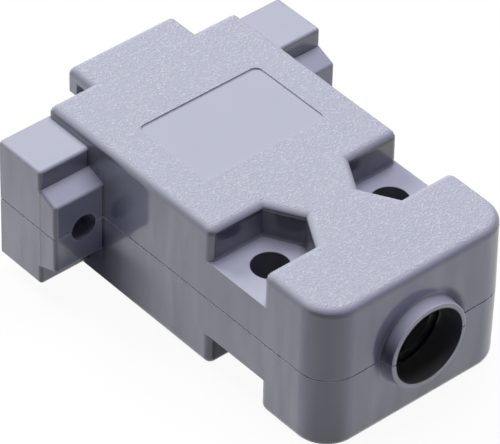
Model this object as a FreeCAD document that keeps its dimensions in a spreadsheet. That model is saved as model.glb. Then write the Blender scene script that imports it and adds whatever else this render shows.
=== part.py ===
import FreeCAD, Part
import operator
import os
import Sketcher

# A two-piece moulded hood for a nine-way D-sub connector, in millimetres.
#
# The frame: the origin is the middle of the connector's seat. +Y leaves the seat towards the
# connector, -Y runs to the cable exit, X runs along the row of jackscrews and Z = 0 is the
# parting plane. Both shells are one moulding: the lower one is the upper one turned half a
# turn about Y, so each locating peg of one shell enters a socket of the other.
# Inside, a clamp of two formed strips, two screws and two nuts holds the cable.

SHEET = "Sizes"

DRIVING_SIZES = {
    # the outside of the moulding
    "total_height": 15.0,
    "body_width": 20.7,
    "body_length": 35.7,
    "end_corner_radius": 3.2,
    "draft_angle": 0.5,
    "wall": 1.5,
    "end_wall": 1.6,
    "top_edge_radius": 0.8,
    "small_edge_radius": 0.4,
    "parting_chamfer": 0.07,
    # the ears that carry the jackscrews
    "ear_span": 31.1,
    "ear_length": 7.4,
    "ear_top_length": 5.4,
    "ear_below_top": 1.3,
    "ear_step": 1.9,
    "ear_slope_drop": 0.8,
    "ear_edge_radius": 0.35,
    "jackscrew_spacing": 24.99,
    "jackscrew_hole": 2.5,
    # the lips that grip the long edges of the connector's flange, 12.5 high
    "lip_width": 11.6,
    "lip_reach": 3.05,
    "lip_wall": 1.2,
    "lip_hook": 1.35,
    "flange_slot": 1.8,
    # the opening for the back of the connector
    "opening_side_wall": 0.6,
    "opening_roof": 2.0,
    "opening_depth": 7.4,
    # the hexagonal pockets for the housing screws and nuts
    "pocket_from_side": 3.75,
    "pocket_from_end": 11.2,
    "pocket_flats": 6.45,
    "pocket_depth": 3.5,
    "pocket_mouth_radius": 0.7,
    "pocket_wall": 1.2,
    "pocket_floor_wall": 1.3,
    "housing_screw_hole": 3.4,
    "boss_diameter": 6.0,
    # the smooth field for a label
    "label_width": 13.2,
    "label_length": 9.0,
    "label_from_seat": 7.1,
    "label_off_middle": 0.15,
    "label_depth": 0.15,
    "label_corner_radius": 0.7,
    # the cable exit
    "cable_bore": 7.3,
    "collar_length": 1.2,
    "collar_root_diameter": 8.6,
    "collar_rim_diameter": 8.2,
    "collar_root_radius": 0.35,
    "collar_rim_radius": 0.12,
    # the pegs that line up the shells
    "peg_diameter": 1.6,
    "peg_height": 1.2,
    "peg_tip_chamfer": 0.3,
    "peg_clearance": 0.1,
    "peg_from_wall": 1.35,
    "peg_from_pocket": 1.0,
    "pillar_diameter": 3.2,
    # the cable clamp
    "clamp_gap": 1.0,
    "clamp_thickness": 0.8,
    "clamp_width": 4.4,
    "clamp_side_clearance": 0.25,
    "clamp_bend_radius": 0.3,
    "clamp_seat_width": 0.85,
    "clamp_screw_diameter": 2.0,
    "clamp_screw_clearance": 0.1,
    "clamp_screw_tail": 0.5,
    "screw_head_diameter": 3.6,
    "screw_head_height": 1.3,
    "screw_head_radius": 0.4,
    "screw_head_clearance": 0.15,
    "screw_slot_width": 0.5,
    "screw_slot_depth": 0.6,
    "nut_flats": 4.0,
    "nut_height": 1.6,
    "nut_clearance": 0.25,
}

# an edge counts as lying on a plane or a line when it is this near to it
NEAR = 0.15
# cos 30 degrees ties a hexagon's corners to its flats
COS_30 = 0.75 ** 0.5
# the lower pieces are the upper ones turned half a turn about Y
TURNED_OVER = FreeCAD.Rotation(FreeCAD.Vector(0, 1, 0), 180)

doc = FreeCAD.newDocument("dsub_hood")


class Size:
    """A length together with the sheet expression that gives it."""

    def __init__(self, value, text):
        self.value = value
        self.text = text

    def _join(self, other, sign, combine):
        if not isinstance(other, Size):
            other = Size(other, repr(other))
        text = f"({self.text} {sign} {other.text})"
        return Size(combine(self.value, other.value), text)

    def __add__(self, other):
        return self._join(other, "+", operator.add)

    def __sub__(self, other):
        return self._join(other, "-", operator.sub)

    def __mul__(self, other):
        return self._join(other, "*", operator.mul)

    def __rmul__(self, other):
        return self * other

    def __truediv__(self, other):
        return self._join(other, "/", operator.truediv)

    def __neg__(self):
        return self * -1


def fill_sheet():
    """Write every driving size into the sheet and hand them back by name."""
    sheet = doc.addObject("Spreadsheet::Sheet", SHEET)
    for row, (alias, value) in enumerate(DRIVING_SIZES.items(), start=1):
        sheet.set(f"A{row}", alias)
        sheet.set(f"B{row}", str(value))
        sheet.setAlias(f"B{row}", alias)
    doc.recompute()
    return {alias: Size(float(sheet.get(alias)), f"{SHEET}.{alias}") for alias in DRIVING_SIZES}


size = fill_sheet()

# heights above the parting plane
half_height = size["total_height"] / 2
pocket_floor = half_height - size["pocket_depth"]
roof = half_height - size["wall"]
slot_top = half_height - size["lip_wall"]
lip_inside = slot_top - size["lip_hook"]
ear_top = half_height - size["ear_below_top"]
ear_step = ear_top - size["ear_step"]
ear_back = ear_step - size["ear_slope_drop"]
clamp_seat = size["clamp_gap"] / 2 + size["clamp_thickness"]

# places across the hood
half_width = size["body_width"] / 2
inner_half_width = half_width - size["wall"]
ear_tip = size["ear_span"] / 2
opening_half = half_width - size["opening_side_wall"]
pocket_x = half_width - size["pocket_from_side"]
peg_x = inner_half_width - size["peg_from_wall"]
jackscrew_x = size["jackscrew_spacing"] / 2
clamp_rib = inner_half_width - size["clamp_seat_width"]
clamp_screw_x = clamp_rib - size["nut_clearance"] - size["nut_flats"] / 2
hoop_outside = clamp_screw_x - size["screw_head_diameter"] / 2 - size["screw_head_clearance"]
hoop_inside = hoop_outside - size["clamp_thickness"]

# places along the hood
cable_end = -size["body_length"]
chamber_end = cable_end + size["end_wall"]
pocket_y = cable_end + size["pocket_from_end"]
pocket_half = size["pocket_flats"] / 2
housing_half = pocket_half + size["pocket_wall"]
clamp_chamber_front = pocket_y - housing_half
clamp_y = (chamber_end + clamp_chamber_front) / 2
peg_y = pocket_y + housing_half + size["peg_from_pocket"]


def origin_plane(body, role):
    return [feature for feature in body.Origin.OriginFeatures if feature.Role == role][0]


def new_sketch(body, name, role, lift=None):
    """A sketch on an origin plane of its body, or lifted off it along the plane's normal."""
    sketch = body.newObject("Sketcher::SketchObject", name)
    sketch.AttachmentSupport = [(origin_plane(body, role), "")]
    sketch.MapMode = "FlatFace"
    if lift is not None:
        sketch.setExpression("AttachmentOffset.Base.z", lift.text)
    return sketch


def pin_point(sketch, item, end, x, y):
    """Hold one point of a sketch at sizes from the sheet, or on an axis where it is zero."""
    for direction, axis, place in (("DistanceX", -2, x), ("DistanceY", -1, y)):
        if isinstance(place, Size):
            rule = Sketcher.Constraint(direction, -1, 1, item, end, place.value)
            index = sketch.addConstraint(rule)
            sketch.setExpression(f"Constraints[{index}]", place.text)
        else:
            sketch.addConstraint(Sketcher.Constraint("PointOnObject", item, end, axis))


def as_vector(x, y):
    numbers = [place.value if isinstance(place, Size) else place for place in (x, y)]
    return FreeCAD.Vector(*numbers)


def draw_outline(sketch, points):
    """A closed outline of straight lines whose corners are pinned to the sizes."""
    corners = [as_vector(x, y) for x, y in points]
    first = None
    for index, corner in enumerate(corners):
        following = corners[(index + 1) % len(corners)]
        line = sketch.addGeometry(Part.LineSegment(corner, following))
        first = line if first is None else first
        if index:
            sketch.addConstraint(Sketcher.Constraint("Coincident", line - 1, 2, line, 1))
    sketch.addConstraint(Sketcher.Constraint("Coincident", line, 2, first, 1))
    for index, (x, y) in enumerate(points):
        pin_point(sketch, first + index, 1, x, y)


def draw_rectangle(sketch, left, right, low, high):
    draw_outline(sketch, [(left, low), (right, low), (right, high), (left, high)])


def draw_circle(sketch, x, y, diameter):
    circle = Part.Circle(as_vector(x, y), FreeCAD.Vector(0, 0, 1), diameter.value / 2)
    item = sketch.addGeometry(circle)
    index = sketch.addConstraint(Sketcher.Constraint("Diameter", item, diameter.value))
    sketch.setExpression(f"Constraints[{index}]", diameter.text)
    pin_point(sketch, item, 3, x, y)


def volume_of(body):
    return body.Shape.Volume if body.Tip else 0.0


def check_growth(body, before, sign, name):
    """A feature that points the wrong way changes nothing, so the volume has to move."""
    doc.recompute()
    if (body.Shape.Volume - before) * sign <= 0:
        raise RuntimeError(f"{name} leaves the volume of {body.Label} as it was")


def pad(sketch, length, reverse=False, both_ways=False):
    body = sketch.getParentGeoFeatureGroup()
    before = volume_of(body)
    feature = body.newObject("PartDesign::Pad", sketch.Name + "_pad")
    feature.Profile = sketch
    feature.Reversed = reverse
    feature.Midplane = both_ways
    feature.setExpression("Length", length.text)
    check_growth(body, before, 1, feature.Name)
    return feature


def pocket(sketch, depth, reverse=False):
    body = sketch.getParentGeoFeatureGroup()
    before = volume_of(body)
    feature = body.newObject("PartDesign::Pocket", sketch.Name + "_pocket")
    feature.Profile = sketch
    feature.Reversed = reverse
    feature.setExpression("Length", depth.text)
    check_growth(body, before, -1, feature.Name)
    return feature


def revolve(sketch, axis, angle=360, reverse=False):
    body = sketch.getParentGeoFeatureGroup()
    before = volume_of(body)
    feature = body.newObject("PartDesign::Revolution", sketch.Name + "_turn")
    feature.Profile = sketch
    feature.ReferenceAxis = (sketch, [axis])
    feature.Angle = angle
    feature.Reversed = reverse
    check_growth(body, before, 1, feature.Name)
    return feature


def edges_where(shape, test):
    return [f"Edge{index}" for index, edge in enumerate(shape.Edges, start=1) if test(edge)]


def soften(body, name, kind, amount_name, amount, test):
    """A fillet or chamfer on the edges of the body's last feature that pass a test."""
    base = body.Tip
    edges = edges_where(base.Shape, test)
    feature = body.newObject(f"PartDesign::{kind}", name)
    feature.Base = (base, edges)
    feature.setExpression(amount_name, amount.text)
    doc.recompute()
    if not edges or feature.Shape.isNull():
        raise RuntimeError(f"{name} finds no edge or doesn't fit {body.Label}")
    return feature


def fillet(body, name, radius, test):
    return soften(body, name, "Fillet", "Radius", radius, test)


def ends(edge):
    return [vertex.Point for vertex in edge.Vertexes]


def all_near(edge, axis, value):
    return all(abs(getattr(point, axis) - value) < NEAR for point in ends(edge))


def runs_along(edge, axis):
    """True for a straight edge that leaves the other two axes alone, but for the draft."""
    if len(edge.Vertexes) != 2 or not isinstance(edge.Curve, Part.Line):
        return False
    others = [name for name in "xyz" if name != axis]
    start, end = ends(edge)
    return all(abs(getattr(start, name) - getattr(end, name)) < NEAR for name in others)


def at_places(edge, axis, places):
    """True when the whole edge lies at one of the places, on either side of the middle."""
    middle = abs(getattr(edge.CenterOfMass, axis))
    return any(abs(middle - abs(place.value)) < NEAR for place in places)


def make_body_block(shell):
    """The drafted box of half the hood, with its two large corners at the cable end."""
    outline = new_sketch(shell, "body_outline", "XY_Plane")
    draw_outline(outline, [
        (-half_width, cable_end),
        (half_width, cable_end),
        (half_width, 0),
        (-half_width, 0),
    ])
    block = pad(outline, half_height)
    sides = []
    for index, face in enumerate(block.Shape.Faces, start=1):
        middle = face.CenterOfMass
        on_side = abs(abs(middle.x) - half_width.value) < NEAR
        on_cable_end = abs(middle.y - cable_end.value) < NEAR
        if on_side or on_cable_end:
            sides.append(f"Face{index}")
    draft = shell.newObject("PartDesign::Draft", "mould_draft")
    draft.Base = (block, sides)
    draft.NeutralPlane = (origin_plane(shell, "XY_Plane"), [""])
    draft.setExpression("Angle", size["draft_angle"].text)
    doc.recompute()
    fillet(shell, "end_corners", size["end_corner_radius"], lambda edge: (
        runs_along(edge, "z") and at_places(edge, "y", [cable_end])))


def make_ears(shell):
    """Both ears from one side profile: a raised front, a step, a slope and an upright back."""
    profile = new_sketch(shell, "ear_profile", "YZ_Plane")
    draw_outline(profile, [
        (0, 0),
        (0, ear_top),
        (-size["ear_top_length"], ear_top),
        (-size["ear_top_length"], ear_step),
        (-size["ear_length"], ear_back),
        (-size["ear_length"], 0),
    ])
    pad(profile, size["ear_span"], both_ways=True)


def make_lip(shell):
    """The hooked lip: its slot takes a long edge of the connector's flange."""
    profile = new_sketch(shell, "lip_profile", "YZ_Plane")
    root = -size["wall"]
    draw_outline(profile, [
        (root, slot_top),
        (size["flange_slot"], slot_top),
        (size["flange_slot"], lip_inside),
        (size["lip_reach"], lip_inside),
        (size["lip_reach"], half_height),
        (root, half_height),
    ])
    pad(profile, size["lip_width"], both_ways=True)


def make_screw_pockets(shell):
    """Two half hexagons, open to the sides, that hold a housing screw's head or its nut."""
    outline = new_sketch(shell, "hexagon_pockets", "XY_Plane", lift=half_height)
    corner = pocket_half / (2 * COS_30)
    for side in (1, -1):
        draw_outline(outline, [
            (side * ear_tip, pocket_y - pocket_half),
            (side * (pocket_x - corner), pocket_y - pocket_half),
            (side * (pocket_x - 2 * corner), pocket_y),
            (side * (pocket_x - corner), pocket_y + pocket_half),
            (side * ear_tip, pocket_y + pocket_half),
        ])
    pocket(outline, size["pocket_depth"])


def make_collar(shell):
    """The upper half of the round collar, still solid, at the cable end."""
    profile = new_sketch(shell, "collar_profile", "XY_Plane")
    root = size["collar_root_diameter"] / 2
    rim = size["collar_rim_diameter"] / 2
    face = cable_end - size["collar_length"]
    draw_outline(profile, [
        (0, chamber_end),
        (root, chamber_end),
        (rim, face),
        (0, face),
    ])
    revolve(profile, "V_Axis", angle=180, reverse=True)

    def round_at(edge, place):
        return all_near(edge, "y", place.value) and not isinstance(edge.Curve, Part.Line)

    fillet(shell, "collar_root", size["collar_root_radius"], lambda edge: (
        round_at(edge, cable_end) and all(abs(point.x) < half_width.value / 2
                                          for point in ends(edge))))
    fillet(shell, "collar_rim", size["collar_rim_radius"], lambda edge: round_at(edge, face))


def round_outside(shell):
    """Upright corners and ears first, so that the top edge runs round them in one chain."""
    pocket_sides = [pocket_y - pocket_half, pocket_y + pocket_half]
    fillet(shell, "pocket_mouths", size["pocket_mouth_radius"], lambda edge: (
        runs_along(edge, "z")
        and at_places(edge, "x", [half_width])
        and at_places(edge, "y", pocket_sides)))
    fillet(shell, "upright_edges", size["small_edge_radius"], lambda edge: (
        runs_along(edge, "z")
        and (
            (at_places(edge, "x", [half_width]) and all_near(edge, "y", 0)
             and edge.CenterOfMass.z > ear_top.value)
            or (at_places(edge, "x", [size["lip_width"] / 2])
                and at_places(edge, "y", [size["lip_reach"]]))
        )))

    def on_ear(edge):
        highest = max(point.z for point in ends(edge))
        if highest > ear_top.value + NEAR or highest < NEAR or all_near(edge, "y", 0):
            return False
        if at_places(edge, "x", [ear_tip]):
            return True
        if not runs_along(edge, "x") or abs(edge.CenterOfMass.x) < half_width.value:
            return False
        on_top = at_places(edge, "z", [ear_top])
        on_back = at_places(edge, "y", [size["ear_length"]])
        return on_top or (on_back and at_places(edge, "z", [ear_back]))

    fillet(shell, "ear_edges", size["ear_edge_radius"], on_ear)
    fillet(shell, "top_edges", size["top_edge_radius"], lambda edge: (
        all_near(edge, "z", half_height.value)))
    soften(shell, "parting_edges", "Chamfer", "Size", size["parting_chamfer"], lambda edge: (
        all_near(edge, "z", 0)))


def make_label_field(shell):
    outline = new_sketch(shell, "label_field", "XY_Plane", lift=half_height)
    front = -size["label_from_seat"]
    left = size["label_off_middle"] - size["label_width"] / 2
    right = size["label_off_middle"] + size["label_width"] / 2
    draw_rectangle(outline, left, right, front - size["label_length"], front)
    pocket(outline, size["label_depth"])
    fillet(shell, "label_corners", size["label_corner_radius"], lambda edge: (
        runs_along(edge, "z")
        and at_places(edge, "x", [left, right])
        and edge.Length < 2 * size["label_depth"].value))


def make_chambers(shell):
    """The hollow: deep where the roof is high, shallow under the pockets, wide at the front."""
    deep = new_sketch(shell, "deep_chamber", "XY_Plane")
    corner = housing_half / (2 * COS_30)
    right = [
        (inner_half_width, chamber_end),
        (inner_half_width, pocket_y - housing_half),
        (pocket_x - corner, pocket_y - housing_half),
        (pocket_x - 2 * corner, pocket_y),
        (pocket_x - corner, pocket_y + housing_half),
        (inner_half_width, pocket_y + housing_half),
        (inner_half_width, -size["opening_depth"]),
    ]
    left = [(-x, y) for x, y in reversed(right)]
    draw_outline(deep, right + left)
    pocket(deep, roof, reverse=True)

    shallow = new_sketch(shell, "passage_under_pockets", "XY_Plane")
    draw_rectangle(shallow, -inner_half_width, inner_half_width,
                   pocket_y - housing_half, pocket_y + housing_half)
    pocket(shallow, pocket_floor - size["pocket_floor_wall"], reverse=True)

    opening = new_sketch(shell, "connector_opening", "XY_Plane")
    draw_rectangle(opening, -opening_half, opening_half, -size["opening_depth"], 0)
    pocket(opening, half_height - size["opening_roof"], reverse=True)


def make_bosses(shell):
    """Tubes that carry the housing screws' squeeze from one pocket floor to the other."""
    tubes = new_sketch(shell, "screw_bosses", "XY_Plane")
    holes = new_sketch(shell, "screw_holes", "XY_Plane")
    for side in (1, -1):
        draw_circle(tubes, side * pocket_x, pocket_y, size["boss_diameter"])
        draw_circle(holes, side * pocket_x, pocket_y, size["housing_screw_hole"])
    pad(tubes, pocket_floor - size["pocket_floor_wall"] / 2)
    pocket(holes, pocket_floor, reverse=True)


def make_pegs(shell):
    """A pillar each side: one carries the peg, the other the socket for the other shell's."""
    pillars = new_sketch(shell, "peg_pillars", "XY_Plane")
    for side in (1, -1):
        draw_circle(pillars, side * peg_x, peg_y, size["pillar_diameter"])
    pad(pillars, half_height - size["wall"] / 2)

    peg = new_sketch(shell, "locating_peg", "XY_Plane")
    draw_circle(peg, peg_x, peg_y, size["peg_diameter"])
    pad(peg, size["peg_height"], reverse=True)
    soften(shell, "peg_tip", "Chamfer", "Size", size["peg_tip_chamfer"], lambda edge: (
        all_near(edge, "z", -size["peg_height"].value)))

    socket = new_sketch(shell, "peg_socket", "XY_Plane")
    draw_circle(socket, -peg_x, peg_y, size["peg_diameter"] + 2 * size["peg_clearance"])
    pocket(socket, size["peg_height"] + 2 * size["peg_clearance"], reverse=True)


def make_clamp_seats(shell):
    """Ribs down both walls of the rear chamber, between which the clamp's lugs are held."""
    seats = new_sketch(shell, "clamp_seats", "XY_Plane", lift=clamp_seat)
    half = size["clamp_width"] / 2
    in_wall = half_width - size["wall"] / 2
    draw_rectangle(seats, clamp_rib, in_wall, clamp_y - half, clamp_y + half)
    draw_rectangle(seats, -in_wall, -clamp_rib, clamp_y - half, clamp_y + half)
    pad(seats, half_height - size["wall"] / 2 - clamp_seat)


def make_cable_bore(shell):
    """Half of the cable's hole, through the end wall and the collar."""
    bore = new_sketch(shell, "cable_bore", "XZ_Plane", lift=-chamber_end)
    draw_circle(bore, 0, 0, size["cable_bore"])
    pocket(bore, size["end_wall"] + size["collar_length"], reverse=True)


def make_jackscrew_channels(shell):
    """Half of the hole for each jackscrew's neck, which is laid in before the shells close."""
    holes = new_sketch(shell, "jackscrew_holes", "XZ_Plane")
    for side in (1, -1):
        draw_circle(holes, side * jackscrew_x, 0, size["jackscrew_hole"])
    pocket(holes, size["ear_length"], reverse=True)


def make_shell(name):
    shell = doc.addObject("PartDesign::Body", name)
    make_body_block(shell)
    make_ears(shell)
    make_lip(shell)
    make_screw_pockets(shell)
    make_collar(shell)
    round_outside(shell)
    make_label_field(shell)
    make_chambers(shell)
    make_bosses(shell)
    make_pegs(shell)
    make_clamp_seats(shell)
    make_cable_bore(shell)
    make_jackscrew_channels(shell)
    return shell


def make_clamp(name):
    """A formed strip: half a hoop round the cable and two flat lugs for the clamp screws."""
    clamp = doc.addObject("PartDesign::Body", name)
    front = -(clamp_y + size["clamp_width"] / 2)
    outer = 2 * hoop_outside
    lug_low = size["clamp_gap"] / 2
    lug_tip = inner_half_width - size["clamp_side_clearance"]

    hoop = new_sketch(clamp, "hoop", "XZ_Plane", lift=front)
    draw_circle(hoop, 0, 0, outer)
    pad(hoop, size["clamp_width"])
    lower_half = new_sketch(clamp, "lower_half", "XZ_Plane", lift=front)
    draw_rectangle(lower_half, -outer, outer, -outer, lug_low)
    pocket(lower_half, size["clamp_width"], reverse=True)
    lugs = new_sketch(clamp, "lugs", "XZ_Plane", lift=front)
    draw_rectangle(lugs, -lug_tip, lug_tip, lug_low, clamp_seat)
    pad(lugs, size["clamp_width"])
    fillet(clamp, "outer_bends", size["clamp_bend_radius"], lambda edge: (
        runs_along(edge, "y")
        and abs(edge.CenterOfMass.x) < hoop_outside.value
        and all_near(edge, "z", clamp_seat.value)))
    inside = new_sketch(clamp, "inside", "XZ_Plane", lift=front)
    draw_circle(inside, 0, 0, 2 * hoop_inside)
    pocket(inside, size["clamp_width"], reverse=True)
    holes = new_sketch(clamp, "lug_holes", "XY_Plane")
    for side in (1, -1):
        hole = size["clamp_screw_diameter"] + 2 * size["clamp_screw_clearance"]
        draw_circle(holes, side * clamp_screw_x, clamp_y, hole)
    pocket(holes, clamp_seat, reverse=True)
    return clamp


def make_turned_twin(name, original):
    """The same piece again, turned over to face the first across the parting plane."""
    twin = doc.addObject("PartDesign::Body", name)
    twin.BaseFeature = original
    twin.Placement.Rotation = TURNED_OVER
    return twin


def place_at(body, x, y, z):
    for axis, place in (("x", x), ("y", y), ("z", z)):
        body.setExpression(f"Placement.Base.{axis}", place.text)


def make_clamp_screw(name, side):
    """A slotted pan-head screw: its head bears on the upper lug, its tail passes the nut."""
    screw = doc.addObject("PartDesign::Body", name)
    shank = size["clamp_screw_diameter"] / 2
    head = size["screw_head_diameter"] / 2
    head_top = size["screw_head_height"]
    tail = -(2 * clamp_seat + size["nut_height"] + size["clamp_screw_tail"])
    profile = new_sketch(screw, "screw_profile", "XZ_Plane")
    draw_outline(profile, [(0, tail), (shank, tail), (shank, 0), (head, 0), (head, head_top),
                           (0, head_top)])
    revolve(profile, "V_Axis")
    fillet(screw, "head_edge", size["screw_head_radius"], lambda edge: (
        all_near(edge, "z", head_top.value) and isinstance(edge.Curve, Part.Circle)))
    slot = new_sketch(screw, "screw_slot", "XY_Plane", lift=head_top)
    half = size["screw_slot_width"] / 2
    draw_rectangle(slot, -head, head, -half, half)
    pocket(slot, size["screw_slot_depth"])
    place_at(screw, side * clamp_screw_x, clamp_y, clamp_seat)
    return screw


def make_clamp_nut(name, side):
    """A plain hexagon nut under the lower lug, its flats towards the side walls."""
    nut = doc.addObject("PartDesign::Body", name)
    half = size["nut_flats"] / 2
    corner = half / COS_30
    outline = new_sketch(nut, "nut_outline", "XY_Plane")
    draw_outline(outline, [(half, -corner / 2), (half, corner / 2), (0, corner),
                           (-half, corner / 2), (-half, -corner / 2), (0, -corner)])
    pad(outline, size["nut_height"], reverse=True)
    hole = new_sketch(nut, "nut_hole", "XY_Plane")
    draw_circle(hole, 0, 0, size["clamp_screw_diameter"])
    pocket(hole, size["nut_height"])
    place_at(nut, side * clamp_screw_x, clamp_y, -clamp_seat)
    return nut


def make_parts():
    upper_shell = make_shell("upper_shell")
    upper_clamp = make_clamp("upper_cable_clamp")
    parts = [
        upper_shell,
        make_turned_twin("lower_shell", upper_shell),
        upper_clamp,
        make_turned_twin("lower_cable_clamp", upper_clamp),
    ]
    for position, side in (("right", 1), ("left", -1)):
        parts.append(make_clamp_screw(f"clamp_screw_{position}", side))
        parts.append(make_clamp_nut(f"clamp_nut_{position}", side))
    return parts


def check_document(parts):
    doc.recompute()
    for item in doc.Objects:
        if "Invalid" in item.State or "Error" in item.State:
            raise RuntimeError(f"{item.Name} failed: {item.State}")
    for part in parts:
        if part.Shape.isNull() or not part.Shape.isValid():
            raise RuntimeError(f"{part.Label} has no sound shape")


def write_parts(parts):
    os.makedirs("parts", exist_ok=True)
    for part in parts:
        part.Shape.exportStep(f"parts/{part.Label}.step")
        box = part.Shape.BoundBox
        print(f"{part.Label}: {len(part.Shape.Solids)} solid, {part.Shape.Volume:.1f} mm3, "
              f"x {box.XMin:.2f} to {box.XMax:.2f}, y {box.YMin:.2f} to {box.YMax:.2f}, "
              f"z {box.ZMin:.2f} to {box.ZMax:.2f}")


parts = make_parts()
check_document(parts)
write_parts(parts)
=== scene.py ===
# %% [markdown]
# # A moulded hood for a nine-way connector
#
# Two equal plastic shells close round the back of a connector and its cable. Their shapes come
# ready made from CAD, so this notebook is about everything else that the eye needs: the finish
# of the plastic, the plated clamp inside, the studio, the light and the camera.
#
# The first cell loads the CAD pieces. Each piece keeps its place in its own mesh, and its object
# sits at the origin, so nothing has to be lined up by hand. Blender works in metres.

# %% Load the CAD pieces
import math

import bmesh
import bpy
from mathutils import Matrix, Vector


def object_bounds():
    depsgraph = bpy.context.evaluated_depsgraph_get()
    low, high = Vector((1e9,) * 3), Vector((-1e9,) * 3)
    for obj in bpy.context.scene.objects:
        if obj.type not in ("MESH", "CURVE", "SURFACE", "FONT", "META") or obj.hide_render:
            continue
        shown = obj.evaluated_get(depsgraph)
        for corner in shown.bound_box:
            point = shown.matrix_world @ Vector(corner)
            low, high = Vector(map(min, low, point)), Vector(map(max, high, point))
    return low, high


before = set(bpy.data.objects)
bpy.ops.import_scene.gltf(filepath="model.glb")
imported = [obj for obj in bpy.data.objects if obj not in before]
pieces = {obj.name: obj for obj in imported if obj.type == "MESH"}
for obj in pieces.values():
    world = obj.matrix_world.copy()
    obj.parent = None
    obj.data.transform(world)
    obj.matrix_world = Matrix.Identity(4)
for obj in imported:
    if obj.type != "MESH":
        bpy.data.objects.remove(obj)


def corners_of(bounds):
    """The two corners of a box as plain lists of numbers."""
    return [[float(number) for number in corner] for corner in bounds]


cad_box = corners_of(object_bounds())
MM = 0.001
print("pieces:", ", ".join(sorted(pieces)))
print("CAD box in mm:", [[round(number / MM, 2) for number in corner] for corner in cad_box])

# %% [markdown]
# ## How a finish is written here
#
# A Blender material is a web of nodes. Written out one link at a time it is hard to read, so two
# small helpers make it read like arithmetic. The first is a `Reading`: one output of a node, such
# as a height or a mask, that varies over the surface. Readings can be added, subtracted and
# multiplied as if they were numbers, and each sign adds one Math node.

# %% A reading
class Reading:
    """One output of a node, used in plain arithmetic."""

    def __init__(self, finish, socket):
        self.finish = finish
        self.socket = socket

    def _math(self, operation, first, second=None):
        values = {0: first} if second is None else {0: first, 1: second}
        return self.finish.node("ShaderNodeMath", {"operation": operation}, values)

    def __add__(self, other):
        return self._math("ADD", self, other)

    def __radd__(self, other):
        return self._math("ADD", other, self)

    def __sub__(self, other):
        return self._math("SUBTRACT", self, other)

    def __rsub__(self, other):
        return self._math("SUBTRACT", other, self)

    def __mul__(self, other):
        return self._math("MULTIPLY", self, other)

    def __rmul__(self, other):
        return self._math("MULTIPLY", other, self)

    def __abs__(self):
        return self._math("ABSOLUTE", self)

    def siblings(self):
        """All the outputs of the same node."""
        return self.socket.node.outputs


print("readings know the signs + - * and abs()")

# %% [markdown]
# ## One finish, one web
#
# The second helper is `Finish`, which owns one material. Its method `node` adds any node: first
# its type, then its settings, because these can change which sockets the node has, and then what
# goes into its sockets. What it hands back is a reading. The other methods name the few small
# webs that come again and again: a place, a direction, a noise, a soft step, a blend and a bump.

# %% A finish
class Finish:
    """A material, or the world round the table, that is being put together."""

    def __init__(self, name, world=None):
        self.owner = world or bpy.data.materials.new(name)
        self.owner.use_nodes = True
        self.tree = self.owner.node_tree
        self.tree.nodes.clear()

    def node(self, kind, settings=None, sockets=None, output=0):
        """Add a node, set it up, fill its sockets and hand back one of its outputs."""
        added = self.tree.nodes.new(kind)
        for name, value in (settings or {}).items():
            setattr(added, name, value)
        for name, value in (sockets or {}).items():
            if isinstance(value, Reading):
                self.tree.links.new(value.socket, added.inputs[name])
            else:
                added.inputs[name].default_value = value
        return None if output is None else Reading(self, added.outputs[output])

    def place(self):
        """The point on the piece, in metres, in the frame that all pieces share."""
        return self.node("ShaderNodeTexCoord", output="Object")

    def facing(self):
        """The direction that the surface faces, in the same frame."""
        return self.node("ShaderNodeTexCoord", output="Normal")

    def along(self, place):
        """The three parts of a place or direction, each as a number."""
        parts = self.node("ShaderNodeSeparateXYZ", None, {"Vector": place}).siblings()
        return [Reading(self, part) for part in parts]

    def grain(self, place, size, detail=2.0):
        """Soft random spots about `size` across, from 0 to 1, half way at 0.5."""
        return self.node(
            "ShaderNodeTexNoise",
            {"noise_dimensions": "3D"},
            {"Vector": place, "Scale": 1 / size, "Detail": detail},
            "Fac",
        )

    def step(self, value, low, high):
        """0 below `low`, 1 above `high` and a smooth rise between them."""
        return self.node(
            "ShaderNodeMapRange",
            {"interpolation_type": "SMOOTHSTEP"},
            {"Value": value, "From Min": low, "From Max": high},
        )

    def blend(self, share, first, second):
        """A colour between two others. Sockets 6 and 7 and output 2 are the ones for colours."""
        return self.node(
            "ShaderNodeMix", {"data_type": "RGBA"}, {0: share, 6: first, 7: second}, output=2)

    def bump(self, height, distance):
        """Tilt the surface as if it rose and fell by up to `distance`."""
        return self.node(
            "ShaderNodeBump", None, {"Height": height, "Distance": distance, "Strength": 1.0}, "Normal")

    def close(self, shader, kind="ShaderNodeOutputMaterial"):
        """End the web with this shader."""
        self.node(kind, None, {"Surface": shader}, None)
        print("finish:", self.owner.name, "with", len(self.tree.nodes), "nodes")
        return self.owner


print("a finish is built with node() and ended with close()")

# %% [markdown]
# ## The plastic of the shells
#
# The shells are moulded in a light blue-grey plastic. The mould's large flat faces were eroded by
# sparks, which leaves a fine even grain, while its upright walls were polished: they come out
# smooth enough to mirror the table and the ear beside them. Light that falls into the recesses is
# soon used up, so painted shade darkens the pockets, the holes and the crooks beside the ears,
# and painted highlights make some edges paler.
#
# All this could be painted on an unwrapped picture, but a picture has to be made again when a
# size changes. Here each place is found by its coordinates instead, with a mask: a number that
# varies over the surface, 1 where a tone belongs, 0 elsewhere and a soft border between them.
# `under`, `over` and `near` compare one reading with one size, the product of two masks keeps
# what lies in both, and their sum keeps what lies in either. A round hole is found by the
# distance from its own axis.

# %% Masks with soft borders
SOFT = 0.05 * MM


def under(finish, value, edge, soft=SOFT):
    """1 where a value is under `edge`, falling softly to 0 beyond it."""
    return 1 - finish.step(value, edge, edge + soft)


def over(finish, value, edge, soft=SOFT):
    """1 where a value is over `edge`, falling softly to 0 below it."""
    return finish.step(value, edge - soft, edge)


def near(finish, value, middle, reach, soft=SOFT):
    """1 where a value is within `reach` of `middle`, falling softly to 0 on both sides."""
    return under(finish, abs(value - middle), reach, soft)


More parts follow.
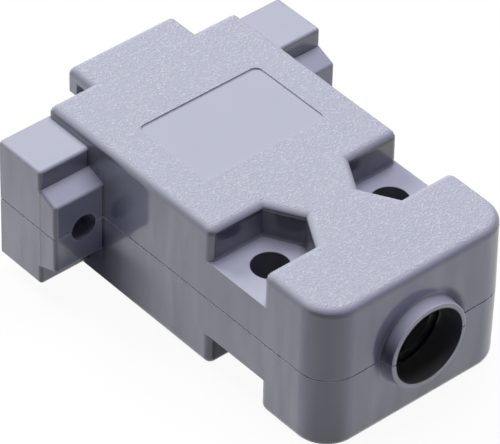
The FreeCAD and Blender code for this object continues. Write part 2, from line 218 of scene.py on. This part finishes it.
def radius_of(finish, first, second):
    """The distance from an axis, from the two coordinates across it."""
    both = finish.node("ShaderNodeCombineXYZ", None, {0: first, 1: second})
    return finish.node("ShaderNodeVectorMath", {"operation": "LENGTH"}, {0: both}, "Value")


print(f"soft border {SOFT / MM:.2f} mm")

# %% [markdown]
# ## Pockets and round holes
#
# Six-sided screw pockets are cut into both large faces, and the floor of each has a hole for a
# housing screw. Only the walls of a pocket get painted shade, because its floor lies open to the
# light. One mould makes both shells and its right and left sides are alike, so heights and
# distances from the middle are taken without their sign, and one mask serves all four pockets.
#
# The cable's hole has two masks of painted shade of its own: one from the rim to the clamp,
# where the shade is grey, and one for the dark passage behind.

# %% Pockets and round holes
POCKET_ALONG = -24.5 * MM
POCKET_HALF = 3.26 * MM
POCKET_FLOOR = 4.02 * MM
POCKET_FOOT = 4.5 * MM
POCKET_RIM = 6.9 * MM
RIM_SOFT = 0.25 * MM
SCREW_HOLE_ACROSS = 6.6 * MM
SCREW_HOLE_RADIUS = 1.72 * MM
SCREW_HOLE_SHADE = 0.70
JACKSCREW_ACROSS = 12.495 * MM
JACKSCREW_RADIUS = 1.27 * MM
JACKSCREW_HOLE_SHADE = 0.50
CABLE_HOLE_RADIUS = 3.67 * MM
CABLE_HOLE_END = -33.5 * MM
CABLE_HOLE_SOFT = 1.0 * MM
PASSAGE_RADIUS = 4.8 * MM
PASSAGE_RADIUS_SOFT = 0.4 * MM
PASSAGE_END = -18.5 * MM
PASSAGE_END_SOFT = 2.0 * MM


def mask_pocket_shade(finish, y, z):
    """Painted shade on the walls of the screw pockets, but not on their floors."""
    along = near(finish, y, POCKET_ALONG, POCKET_HALF)
    above_floor = over(finish, abs(z), POCKET_FOOT, POCKET_FOOT - POCKET_FLOOR)
    return along * above_floor * under(finish, abs(z), POCKET_RIM, RIM_SOFT)


def mask_hole_shade(finish, x, y, z):
    """Painted shade inside the screw and jackscrew holes and the passage behind the cable's hole."""
    screws = radius_of(finish, abs(x) - SCREW_HOLE_ACROSS, y - POCKET_ALONG)
    jackscrews = radius_of(finish, abs(x) - JACKSCREW_ACROSS, z)
    passage = under(finish, radius_of(finish, x, z), PASSAGE_RADIUS, PASSAGE_RADIUS_SOFT)
    behind_hole = over(finish, y, CABLE_HOLE_END, CABLE_HOLE_SOFT)
    return (
        under(finish, screws, SCREW_HOLE_RADIUS) * SCREW_HOLE_SHADE
        + under(finish, jackscrews, JACKSCREW_RADIUS) * JACKSCREW_HOLE_SHADE
        + passage * behind_hole * under(finish, y, PASSAGE_END, PASSAGE_END_SOFT))


def mask_cable_hole_shade(finish, x, y, z):
    """Painted grey shade inside the cable's hole, from the rim to the clamp."""
    bore = under(finish, radius_of(finish, x, z), CABLE_HOLE_RADIUS)
    return bore * under(finish, y, CABLE_HOLE_END, CABLE_HOLE_SOFT)


print(f"pockets from {POCKET_FLOOR / MM:.2f} to {POCKET_RIM / MM:.2f} mm off the parting plane")

# %% [markdown]
# ## Crooks beside the ears
#
# Each ear stands out at a right angle, and little light reaches the crook between its back and
# the side wall. The painted shade is strongest in the corner and fades along the wall, and the
# low riser of the ear's step has it too. Below, the ears and the pockets of the lower shell also
# keep the light of the table away, and a second, wider mask of painted shade finds those places.

# %% Crooks beside the ears
SIDE_WALL = 10.35 * MM
WALL_REACH = 0.15 * MM
EAR_RISER = -5.4 * MM
EAR_BACK = -7.4 * MM
EAR_FACE_REACH = 0.1 * MM
EAR_BACK_SHARE = 0.5
CROOK_LENGTH = 4 * MM
LOW_CROOK = (EAR_BACK - 9 * MM, EAR_BACK + 1 * MM)
LOW_CROOK_TOP = -3.5 * MM
LOW_CROOK_SOFT = 3 * MM
LOW_EAR_SHARE = 0.6
LOW_POCKET_SHARE = 0.7


def mask_crook_shade(finish, x, y, z):
    """Painted shade on the side wall close to an ear, the riser of the ear's step and the ear's back."""
    wall = near(finish, abs(x), SIDE_WALL, WALL_REACH)
    near_ear = finish.step(y, EAR_BACK - CROOK_LENGTH, EAR_BACK)
    riser = near(finish, y, EAR_RISER, EAR_FACE_REACH)
    back = near(finish, y, EAR_BACK, EAR_FACE_REACH)
    ear = over(finish, abs(x), SIDE_WALL) * (riser + back * EAR_BACK_SHARE)
    return (wall * near_ear + ear) * under(finish, abs(z), POCKET_RIM, RIM_SOFT)


def mask_low_shade(finish, x, y, z):
    """Painted shade where the ears and the pockets of the lower shell keep the light of the table away."""
    wall = near(finish, abs(x), SIDE_WALL, WALL_REACH) * finish.step(y, *LOW_CROOK)
    ear = over(finish, abs(x), SIDE_WALL) * near(finish, y, EAR_BACK, EAR_FACE_REACH)
    crook = (wall + ear * LOW_EAR_SHARE) * under(finish, z, LOW_CROOK_TOP, LOW_CROOK_SOFT)
    pocket = near(finish, y, POCKET_ALONG, POCKET_HALF) * under(finish, z, -POCKET_FLOOR)
    return crook + pocket * LOW_POCKET_SHARE


print(f"crooks reach {CROOK_LENGTH / MM:.1f} mm from the ears' backs at {EAR_BACK / MM:.1f} mm")

# %% [markdown]
# ## The collar
#
# A short round collar surrounds the cable's hole. Its neck turns away from the light and gets
# painted shade, and painted shade also lies on the end wall beside it, most where its flanks stand
# upright.

# %% The collar
COLLAR = (-36.8 * MM, -35.74 * MM)
COLLAR_SHADE_RADIUS = 4.55 * MM
COLLAR_ROOT_SOFT = 0.02 * MM
END_WALL_DEPTH = 0.3 * MM
COLLAR_SHADE_SOFT = 0.7 * MM
FLANK_ACROSS = (1.2 * MM, 3.6 * MM)
FLANK_HEIGHT = (-2.5 * MM, 0.5 * MM)


def mask_collar(finish, y):
    """The neck of the collar, between the end wall and the rim."""
    return over(finish, y, COLLAR[0]) * under(finish, y, COLLAR[1], COLLAR_ROOT_SOFT)


def mask_collar_root_shade(finish, x, y, z):
    """Painted shade on the end wall close to the collar's flanks, above the parting line."""
    end_wall = over(finish, y, COLLAR[1], COLLAR_ROOT_SOFT) * under(
        finish, y, COLLAR[1] + END_WALL_DEPTH)
    ring = under(finish, radius_of(finish, x, z), COLLAR_SHADE_RADIUS, COLLAR_SHADE_SOFT)
    flank = finish.step(abs(x), *FLANK_ACROSS) * finish.step(z, *FLANK_HEIGHT)
    return end_wall * ring * flank


print(f"collar from {COLLAR[0] / MM:.2f} to {COLLAR[1] / MM:.2f} mm")

# %% [markdown]
# ## Edges
#
# Two marks are painted along the edges. A thin line of painted shade runs where a wall turns into
# the rounded edge of a large face. The parting line, the rim of the collar and the mouths of the
# jackscrews' holes get painted highlights, which make them paler.

# %% Edges
HALF_HEIGHT = max(abs(cad_box[0][2]), abs(cad_box[1][2]))
EDGE_LINE = HALF_HEIGHT - 0.62 * MM
EDGE_LINE_HALF = 0.05 * MM
EDGE_LINE_SOFT = 0.25 * MM
WALL_LINE_SHARE = 0.22
CORNER_LINE_SHARE = 0.50
SEAM_HALF = 0.09 * MM
SEAM_SOFT = 0.02 * MM
RIM_FACE = -36.75 * MM
MOUTH_WIDTH = 0.15 * MM
MOUTH_HIGHLIGHT_SHARE = 0.3


def mask_edge_line_shade(finish, z, corner):
    """Painted shade in a thin line where a large face's rounded edge meets the wall, deeper at corners."""
    line = near(finish, abs(z), EDGE_LINE, EDGE_LINE_HALF, EDGE_LINE_SOFT)
    return line * (WALL_LINE_SHARE + corner * CORNER_LINE_SHARE)


def mask_edge_highlights(finish, x, y, z):
    """Painted highlights on the parting line, the cable's rim and the mouths of the jackscrews' holes."""
    seam = under(finish, abs(z), SEAM_HALF, SEAM_SOFT)
    rim = under(finish, y, RIM_FACE) * over(finish, radius_of(finish, x, z), CABLE_HOLE_RADIUS)
    jackscrews = radius_of(finish, abs(x) - JACKSCREW_ACROSS, z)
    mouth = over(finish, jackscrews, JACKSCREW_RADIUS) * under(
        finish, jackscrews, JACKSCREW_RADIUS + MOUTH_WIDTH)
    on_back = under(finish, y, EAR_BACK + EAR_FACE_REACH)
    return seam + rim + mouth * on_back * MOUTH_HIGHLIGHT_SHARE


print(f"deeper line {EDGE_LINE / MM:.2f} mm off the parting plane, of {HALF_HEIGHT / MM:.2f} mm")

# %% [markdown]
# ## Walls, corners and grain
#
# Some places are found by the way the surface faces and not only by where it lies. A wall faces
# neither up nor down. A rounded upright corner faces partly along X and partly along Y, so the
# product of the two is large there and nothing on a flat face. The grain lies only in the thin
# layer of the large faces: the sunken label field is below that layer and stays smooth without
# being named. All these masks are kept together under their names.

# %% Walls, corners and grain
WALL_TURN = 0.25
WALL_TURN_SOFT = 0.35
CORNER_TURN = (0.10, 0.40)
NECK_TURN = 0.1
NECK_TURN_SOFT = 0.7
NECK_LOW = (-0.35, 0.25)
GRAIN_LAYER = (HALF_HEIGHT - 0.13 * MM, HALF_HEIGHT - 0.03 * MM)


def find_surfaces(finish, place):
    """The masks that depend on how a shell's surface is turned or finished, by name."""
    x, y, z = finish.along(place)
    facing_x, facing_y, facing_up = finish.along(finish.facing())
    turned = abs(facing_x * facing_y)
    wall = under(finish, abs(facing_up), WALL_TURN, WALL_TURN_SOFT)
    collar = mask_collar(finish, y)
    upper_neck = collar * under(finish, facing_up, NECK_TURN, NECK_TURN_SOFT)
    # The neck, the end wall beside the collar and the low places are masks of painted shade.
    return {
        "flat": 1 - turned,
        "wall": wall,
        "corner": finish.step(turned, *CORNER_TURN) * wall,
        "collar": collar,
        "neck": upper_neck * finish.step(facing_up, *NECK_LOW),
        "root": mask_collar_root_shade(finish, x, y, z),
        "low_shade": mask_low_shade(finish, x, y, z),
        "eroded": finish.step(abs(z), *GRAIN_LAYER),
    }


print(f"grain in the outer {(HALF_HEIGHT - GRAIN_LAYER[0]) / MM:.2f} mm of the large faces")

# %% [markdown]
# ## Random patterns
#
# No moulded surface is quite even. Four noises of different sizes go through the plastic: the
# grain of the eroded faces, upright streaks in the polished walls, as a wall keeps them where it
# slid out of the mould, faint ripples, and wide cloudy areas. Noise on the piece's own
# coordinates needs no unwrapping and runs on over the edges without a seam.

# %% Random patterns
GRAIN_SIZE = 0.18 * MM
STREAK_SIZE = 0.9 * MM
STREAK_STRETCH = (1.0, 1.0, 0.12)
RIPPLE_SIZE = 1.6 * MM
CLOUD_SIZE = 6 * MM


def spread_noises(finish, place):
    """The random patterns of the plastic, by name."""
    stretched = finish.node("ShaderNodeMapping", None, {"Vector": place, "Scale": STREAK_STRETCH})
    return {
        "sparks": finish.grain(place, GRAIN_SIZE, detail=1.0),
        "streak": finish.grain(stretched, STREAK_SIZE),
        "ripple": finish.grain(place, RIPPLE_SIZE, detail=1.0),
        "cloud": finish.grain(place, CLOUD_SIZE),
    }


print(f"grain {GRAIN_SIZE / MM:.2f} mm, streaks {STREAK_SIZE / MM:.1f} mm, clouds {CLOUD_SIZE / MM:.0f} mm")

# %% [markdown]
# ## Colour
#
# Each line of the function lays one tone over the last, as a painter would: the clean and the
# worn plastic, painted shade on the rounded corners, painted glints that make the grain sparkle,
# painted highlights on the edges, painted grey shade inside the cable's hole, and at the end the
# painted shade of all recesses.

# %% Colour
PLASTIC_COLOUR = (0.505, 0.517, 0.625, 1.0)
PLASTIC_WORN = (0.490, 0.502, 0.607, 1.0)
# Painted shade on the rounded upright corners.
PLASTIC_CORNER_SHADE = (0.435, 0.440, 0.450, 1.0)
# Painted glints in the grain.
PLASTIC_GLINT = (0.640, 0.652, 0.740, 1.0)
# Painted highlights on the edges.
PLASTIC_HIGHLIGHT = (0.850, 0.860, 0.900, 1.0)
# Painted grey shade inside the cable's hole.
PLASTIC_HOLE_SHADE = (0.150, 0.150, 0.152, 1.0)
# Painted shade in all recesses.
PLASTIC_RECESS_SHADE = (0.072, 0.070, 0.112, 1.0)
GLINT_RANGE = (0.50, 0.75)
POCKET_SHADE_SHARE = 0.9
CROOK_SHADE_SHARE = 0.65
LOW_SHADE_SHARE = 0.3
NECK_SHADE_SHARE = 1.0
COLLAR_ROOT_SHADE_SHARE = 0.35


def colour_plastic(finish, place, found, noise):
    """The plastic's colour, from its clean tone to the painted shade in its recesses."""
    x, y, z = finish.along(place)
    clean = finish.blend(noise["cloud"], PLASTIC_WORN, PLASTIC_COLOUR)
    # Painted shade on the rounded upright corners.
    rounded = finish.blend(found["corner"], clean, PLASTIC_CORNER_SHADE)
    # Painted glints where the grain's noise is high.
    glints = found["eroded"] * finish.step(noise["sparks"], *GLINT_RANGE)
    glinted = finish.blend(glints, rounded, PLASTIC_GLINT)
    # Painted highlights on the edges, except on the collar's neck.
    pale = mask_edge_highlights(finish, x, y, z) * (1 - found["collar"])
    highlighted = finish.blend(pale, glinted, PLASTIC_HIGHLIGHT)
    # Painted grey shade inside the cable's hole.
    hole_shaded = finish.blend(mask_cable_hole_shade(finish, x, y, z), highlighted, PLASTIC_HOLE_SHADE)
    # Painted shade in the pockets, crooks, low places, collar's neck, beside the collar, edge lines and
    # holes.
    recess_shade = finish.node("ShaderNodeClamp", None, {
        "Value": mask_pocket_shade(finish, y, z) * POCKET_SHADE_SHARE
        + mask_crook_shade(finish, x, y, z) * CROOK_SHADE_SHARE * found["wall"]
        + found["low_shade"] * LOW_SHADE_SHARE
        + found["neck"] * NECK_SHADE_SHARE
        + found["root"] * COLLAR_ROOT_SHADE_SHARE
        + mask_edge_line_shade(finish, z, found["corner"])
        + mask_hole_shade(finish, x, y, z)})
    return finish.blend(recess_shade, hole_shaded, PLASTIC_RECESS_SHADE)


print("plastic from", PLASTIC_WORN[:3], "to", PLASTIC_COLOUR[:3], "and in recesses", PLASTIC_RECESS_SHADE[:3])

# %% [markdown]
# ## Shell plastic
#
# The Principled shader takes the masks as colour, roughness and coat. The plastic itself is
# satin. The mirror of the walls is a thin clear coat over it, which leaves the colour below
# visible, as a polished mould does. It is strongest where a wall is flat, and it fades low beside
# the ears and round the collar. The grain is a bump and not a shape, because grooves as fine as
# these would need millions of faces.

# %% Shell plastic
SATIN = 0.42
GRAIN_DULL = 0.10
SHADE_DULL = 0.40
ROOT_DULL = 0.5
CLOUD_DULL = 0.06
COAT_LEAST = 0.55
COAT_STREAK = 0.9
COAT_ROUGHNESS = 0.10
PLASTIC_IOR = 1.55
MIDDLE = 0.5
GRAIN_DEPTH = 0.11 * MM
RIPPLE_SHARE = 0.10


def make_shell_plastic():
    finish = Finish("shell_plastic")
    place = finish.place()
    found = find_surfaces(finish, place)
    noise = spread_noises(finish, place)
    grain = found["eroded"] * (noise["sparks"] - MIDDLE)
    ripple = (1 - found["eroded"]) * (noise["ripple"] - MIDDLE) * RIPPLE_SHARE
    shade = found["low_shade"] + found["neck"] + found["root"] * ROOT_DULL
    cloud = (noise["cloud"] - MIDDLE) * CLOUD_DULL
    polished = found["wall"] * found["flat"] * (1 - found["collar"]) * (1 - found["root"])
    coat = polished * (1 - found["low_shade"])
    return finish.close(finish.node("ShaderNodeBsdfPrincipled", None, {
        "Base Color": colour_plastic(finish, place, found, noise),
        "Roughness": SATIN + found["eroded"] * GRAIN_DULL + shade * SHADE_DULL + cloud,
        "IOR": PLASTIC_IOR,
        "Coat Weight": coat * (COAT_LEAST + noise["streak"] * COAT_STREAK),
        "Coat Roughness": COAT_ROUGHNESS,
        "Coat IOR": PLASTIC_IOR,
        "Normal": finish.bump(grain + ripple, GRAIN_DEPTH),
    }))


shell_plastic = make_shell_plastic()

# %% [markdown]
# ## The clamp inside
#
# The strips, screws and nuts of the cable clamp are steel with a thin bright zinc plating. Only a
# little light reaches them through the cable's hole. Rolled strip keeps faint lines along its
# length, which is X here, so its noise is stretched that way; turned screws and nuts show a
# finer, more even surface.

# %% Plated steel
ZINC = (0.62, 0.62, 0.60, 1.0)
ZINC_DULL = (0.50, 0.50, 0.49, 1.0)
ZINC_PATCH = 1.5 * MM
LINE_DULL = 0.15
LINE_DEPTH = 0.002 * MM


def make_plated_steel(name, stretch, grain_size, dullness):
    finish = Finish(name)
    place = finish.node("ShaderNodeMapping", None, {"Vector": finish.place(), "Scale": stretch})
    lines = finish.grain(place, grain_size, detail=3.0)
    patches = finish.grain(finish.place(), ZINC_PATCH)
    return finish.close(finish.node("ShaderNodeBsdfPrincipled", None, {
        "Base Color": finish.blend(patches, ZINC, ZINC_DULL),
        "Metallic": 1.0,
        "Roughness": dullness + lines * LINE_DULL,
        "Normal": finish.bump(lines, LINE_DEPTH),
    }))


clamp_strip = make_plated_steel(
    "clamp_strip", stretch=(0.08, 1.0, 1.0), grain_size=0.12 * MM, dullness=0.26)
clamp_fastener = make_plated_steel(
    "clamp_fastener", stretch=(1.0, 1.0, 1.0), grain_size=0.20 * MM, dullness=0.22)

# %% [markdown]
# ## Which piece gets which finish
#
# Both shells come from one mould and share one plastic. The clamp's strips were rolled and bent,
# and its screws and nuts were turned, so these have two finishes of their own. The names of the
# pieces say what they are, and a loop over the names can't forget a piece.

# %% Give each piece its finish
for name, piece in pieces.items():
    if "shell" in name:
        material = shell_plastic
    elif "cable_clamp" in name:
        material = clamp_strip
    else:
        material = clamp_fastener
    piece.data.materials.clear()
    piece.data.materials.append(material)
    print(name, "->", material.name)

# %% [markdown]
# ## The table
#
# The hood lies on a plain pale table. The camera and the polished walls should see it white, as
# in a product picture, but a table that really is that bright would throw its light back onto
# the sides too. The Light Path node tells which kind of ray is asking. A camera, glossy or
# transmission ray gets a white glow with a little of the hood's own soft shadow in it, and a
# diffuse ray gets a dull blue-grey, which gives the upright walls their cool tone.

# %% Table
FLOOR_WHITE = (1.0, 1.0, 1.0, 1.0)
FLOOR_DULL = (0.140, 0.147, 0.245, 1.0)
SHADOW_SHARE = 0.06
TABLE_HALF = 1.5


def seen_directly(finish):
    """1 for camera, glossy and transmission rays, 0 for the rest."""
    path = finish.node("ShaderNodeLightPath").siblings()
    kinds = ("Is Camera Ray", "Is Glossy Ray", "Is Transmission Ray")
    camera_ray, glossy_ray, transmission_ray = [Reading(finish, path[kind]) for kind in kinds]
    return finish.node("ShaderNodeClamp", None, {"Value": camera_ray + glossy_ray + transmission_ray})


def make_table_finish():
    finish = Finish("table_white")
    lit = finish.node("ShaderNodeBsdfDiffuse", None, {"Color": FLOOR_WHITE})
    glow = finish.node("ShaderNodeEmission", None, {"Color": FLOOR_WHITE, "Strength": 1.0})
    dull = finish.node("ShaderNodeBsdfDiffuse", None, {"Color": FLOOR_DULL})
    white = finish.node("ShaderNodeMixShader", None, {0: SHADOW_SHARE, 1: glow, 2: lit})
    return finish.close(
        finish.node("ShaderNodeMixShader", None, {0: seen_directly(finish), 1: dull, 2: white}))


def keep_mesh(name, shape, material):
    """Turn a bmesh into an object in the scene."""
    mesh = bpy.data.meshes.new(name)
    shape.to_mesh(mesh)
    shape.free()
    mesh.materials.append(material)
    made = bpy.data.objects.new(name, mesh)
    bpy.context.scene.collection.objects.link(made)
    return made


def make_table():
    shape = bmesh.new()
    bmesh.ops.create_grid(shape, x_segments=1, y_segments=1, size=TABLE_HALF)
    bmesh.ops.translate(shape, verts=shape.verts, vec=(0, 0, cad_box[0][2]))
    table = keep_mesh("table", shape, make_table_finish())
    return table


table = make_table()
print(table.name, "at z =", round(cad_box[0][2] / MM, 2), "mm")

# %% [markdown]
# ## The room round the table
#
# A rounded edge turns its reflection quickly from the table up to the ceiling, so it mirrors the
# room between them as a thin line. A dark screen round the table keeps that line dark, which
# draws the edges of pale plastic. It is a ring of one face's width, out of the camera's sight.

# %% Screen
SCREEN_DISTANCE = 0.9
SCREEN_HEIGHT = 0.75
SCREEN_SIDES = 48
SCREEN_GREY = (0.05, 0.05, 0.055, 1.0)


def make_screen():
    finish = Finish("screen_grey")
    grey = finish.close(finish.node("ShaderNodeBsdfDiffuse", None, {"Color": SCREEN_GREY}))
    shape = bmesh.new()
    bmesh.ops.create_circle(shape, segments=SCREEN_SIDES, radius=SCREEN_DISTANCE)
    raised = bmesh.ops.extrude_edge_only(shape, edges=shape.edges)
    top = [item for item in raised["geom"] if isinstance(item, bmesh.types.BMVert)]
    bmesh.ops.translate(shape, verts=top, vec=(0, 0, SCREEN_HEIGHT))
    screen = keep_mesh("screen", shape, grey)
    screen.visible_camera = False
    return screen


screen = make_screen()
print("screen:", len(screen.data.polygons), "faces")

# %% [markdown]
# ## Light
#
# Three round softboxes light the hood: one behind it and halfway up, one high on its right and
# one straight above. Level faces get almost full light from them, while the walls turned to the
# camera get theirs from the table and the room. The strengths are shares of full light. At 1, a
# white face turned to the softbox comes out white, which asks for pi watts on each square metre
# there, so the power is worked out and not tried out. Rays that come from a mirror don't see the
# softboxes, because these would draw hard bright lines along the rounded edges.

# %% Softboxes
LAMP_DISTANCE = 0.80
LAMP_SPREAD = math.radians(15)


def make_softbox(name, tilt, azimuth, strength, colour):
    """A round softbox. At strength 1 it would alone light a white face turned to it fully."""
    lamp = bpy.data.lights.new(name, "AREA")
    lamp.shape = "DISK"
    radius = LAMP_DISTANCE * math.tan(LAMP_SPREAD)
    lamp.size = 2 * radius
    lamp.color = colour
    brightness = strength / math.sin(LAMP_SPREAD) ** 2
    area = math.pi * radius ** 2
    lamp.energy = brightness * math.pi * area
    softbox = bpy.data.objects.new(name, lamp)
    tilt, azimuth = math.radians(tilt), math.radians(azimuth)
    direction = Vector((
        math.sin(tilt) * math.cos(azimuth), math.sin(tilt) * math.sin(azimuth), math.cos(tilt)))
    softbox.location = direction * LAMP_DISTANCE
    softbox.rotation_euler = direction.to_track_quat("Z", "Y").to_euler()
    softbox.visible_glossy = False
    bpy.context.scene.collection.objects.link(softbox)
    print("softbox", name, round(lamp.energy, 2), "W")
    return softbox


softboxes = [
    make_softbox("softbox_behind", tilt=50, azimuth=93, strength=0.62, colour=(0.97, 1.0, 0.84)),
    make_softbox("softbox_right", tilt=25, azimuth=25, strength=0.38, colour=(0.91, 0.90, 1.0)),
    make_softbox("softbox_above", tilt=0, azimuth=0, strength=0.34, colour=(0.91, 0.90, 1.0)),
]
print(len(softboxes), "softboxes,", LAMP_DISTANCE, "m from the seat")

# %% [markdown]
# ## The room
#
# The world fills in a little light from everywhere. Like the table it is white for the rays that
# come from the camera, from a mirror or through glass, so that the background stays white.

# %% World
ROOM_LIGHT = 0.05


def make_room():
    finish = Finish("room", bpy.data.worlds.new("room"))
    strength = ROOM_LIGHT + seen_directly(finish) * (1 - ROOM_LIGHT)
    white = finish.node(
        "ShaderNodeBackground", None, {"Color": FLOOR_WHITE, "Strength": strength})
    return finish.close(white, "ShaderNodeOutputWorld")


room = make_room()
bpy.context.scene.world = room

# %% [markdown]
# ## Camera
#
# The picture was taken from far away with a long lens. Such a camera could be turned by eye until
# the hood fills the frame in the same way, but its place, its turn and its lens make up for each
# other, and the eye can't part them. So all of them were worked out at once, from some sixty
# corners of the hood.

# %% Camera
CAMERA_PLACE = (-0.193180, -0.231980, 0.247172)
CAMERA_RIGHT = (0.75918634, -0.65055079, 0.02048817)
CAMERA_UP = (0.41107906, 0.50365505, 0.75983261)
CAMERA_BACK = (-0.50462868, -0.56843228, 0.64979584)
FOCAL_LENGTH = 324.709
SENSOR_WIDTH = 36.0


def make_camera():
    lens = bpy.data.cameras.new("camera")
    lens.sensor_fit = "HORIZONTAL"
    lens.sensor_width = SENSOR_WIDTH
    lens.lens = FOCAL_LENGTH
    camera = bpy.data.objects.new("camera", lens)
    turn = Matrix((CAMERA_RIGHT, CAMERA_UP, CAMERA_BACK)).transposed()
    camera.matrix_world = Matrix.Translation(CAMERA_PLACE) @ turn.to_4x4()
    bpy.context.scene.collection.objects.link(camera)
    bpy.context.scene.camera = camera
    return camera


camera = make_camera()
bpy.context.scene.view_settings.view_transform = "Standard"
print("camera", round(camera.location.length / MM), "mm from the seat")
